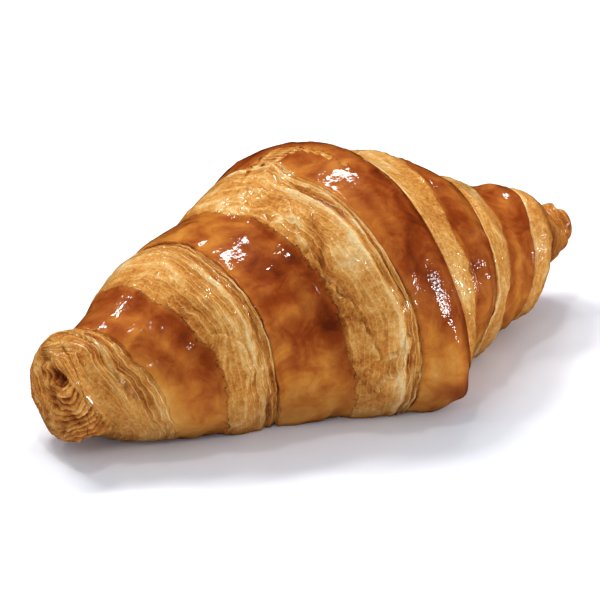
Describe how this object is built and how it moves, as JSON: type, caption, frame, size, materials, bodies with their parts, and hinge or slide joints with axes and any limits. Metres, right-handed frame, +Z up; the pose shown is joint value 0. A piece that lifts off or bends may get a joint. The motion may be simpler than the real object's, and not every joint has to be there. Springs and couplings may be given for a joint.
{
  "type": "croissant",
  "caption": "Straight butter croissant with a glossy brown crust, spiral wraps with pale layered cut edges, coiled ends and a flat baked base.",
  "frame": {"origin": "middle of the box at the flat underside, where the croissant stands on the tray", "axes": "+X along the roll towards the narrower end, -Y the front where the outermost wrap comes down, +Z up"},
  "size_m": [0.1628, 0.0914, 0.0588],
  "materials": {
    "crust": "egg-washed baked crust, dark amber on the wraps and pale gold in the layered cut edges"
  },
  "bodies": {
    "root": {"croissant": "crust"}
  },
  "joints": []
}
